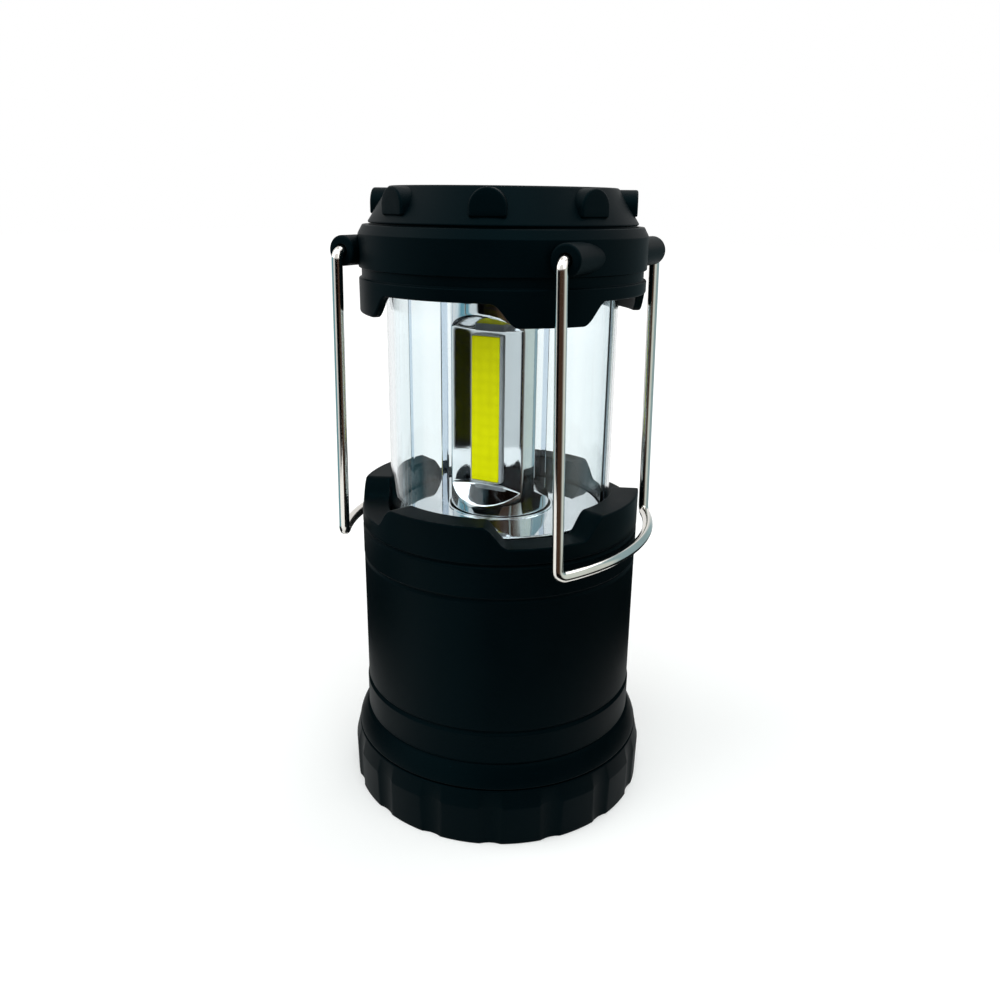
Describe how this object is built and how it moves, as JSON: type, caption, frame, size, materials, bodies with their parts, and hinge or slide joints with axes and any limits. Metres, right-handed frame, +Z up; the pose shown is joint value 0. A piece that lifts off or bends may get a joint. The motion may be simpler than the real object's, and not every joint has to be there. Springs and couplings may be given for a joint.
{
  "type": "camping lantern",
  "caption": "Pop-up camping lantern: a clear-tubed light head slides up from a black battery base and hangs from folding wire handles.",
  "frame": {"origin": "centre of the foot on the standing plane", "axes": "+Z up along the lantern's axis, front light strip towards -Y, handles on the X sides"},
  "size_m": [0.0934, 0.0934, 0.1827],
  "materials": {
    "black_abs": "satin moulded black ABS",
    "grey_abs": "moulded grey ABS",
    "chromed_abs": "mirror chrome metallised on moulded ABS",
    "clear_polycarbonate": "clear moulded polycarbonate",
    "phosphor_silicone": "cast yellow phosphor silicone",
    "aluminium_board": "white masked aluminium board",
    "plated_steel_wire": "bright plated drawn wire",
    "nickel_strip": "nickel plated spring steel",
    "screw_steel": "plain steel",
    "cell_jacket": null,
    "glass_laminate": "green masked glass laminate"
  },
  "bodies": {
    "base": {"base_housing": "black_abs", "battery_carrier": "grey_abs", "deck_reflector": "chromed_abs", "battery_1": "cell_jacket", "battery_2": "cell_jacket", "battery_3": "cell_jacket", "carrier_spring": "nickel_strip", "carrier_screw_1": "screw_steel", "carrier_screw_2": "screw_steel", "carrier_screw_3": "screw_steel", "return_strip": "nickel_strip", "switch_blade_1": "nickel_strip", "switch_blade_2": "nickel_strip", "top_link_plate": "nickel_strip", "top_tab_plate": "nickel_strip"},
    "battery_cover": {"battery_cover": "black_abs", "cover_link_plate": "nickel_strip", "cover_tab_plate": "nickel_strip", "cover_spring_1": "nickel_strip", "cover_spring_2": "nickel_strip"},
    "head": {"collar": "black_abs", "cap": "black_abs", "clear_tube": "clear_polycarbonate", "led_column": "chromed_abs", "cob_board_1": "aluminium_board", "cob_board_2": "aluminium_board", "cob_board_3": "aluminium_board", "cob_phosphor_1": "phosphor_silicone", "cob_phosphor_2": "phosphor_silicone", "cob_phosphor_3": "phosphor_silicone", "top_reflector": "chromed_abs", "driver_board": "glass_laminate", "head_screw_1": "screw_steel", "head_screw_2": "screw_steel", "head_screw_3": "screw_steel", "column_contact_1": "nickel_strip", "column_contact_2": "nickel_strip"},
    "handle_right": {"handle_right": "plated_steel_wire"},
    "handle_left": {"handle_left": "plated_steel_wire"}
  },
  "joints": [
    {"name": "head_slide", "type": "slide", "parent": "base", "child": "head", "axis": [0, 0, -1], "range_m": [0, 0.0575]},
    {"name": "cover_twist", "type": "hinge", "parent": "base", "child": "battery_cover", "pos_m": [0, 0, 0.009], "axis": [0, 0, -1], "range_deg": [0, 30]},
    {"name": "handle_right_swing", "type": "hinge", "parent": "head", "child": "handle_right", "pos_m": [0.0336, 0, 0.1657], "axis": [0, -1, 0], "range_deg": [0, 191.8]},
    {"name": "handle_left_swing", "type": "hinge", "parent": "head", "child": "handle_left", "pos_m": [-0.0336, 0, 0.1657], "axis": [0, 1, 0], "range_deg": [0, 191.8]}
  ]
}
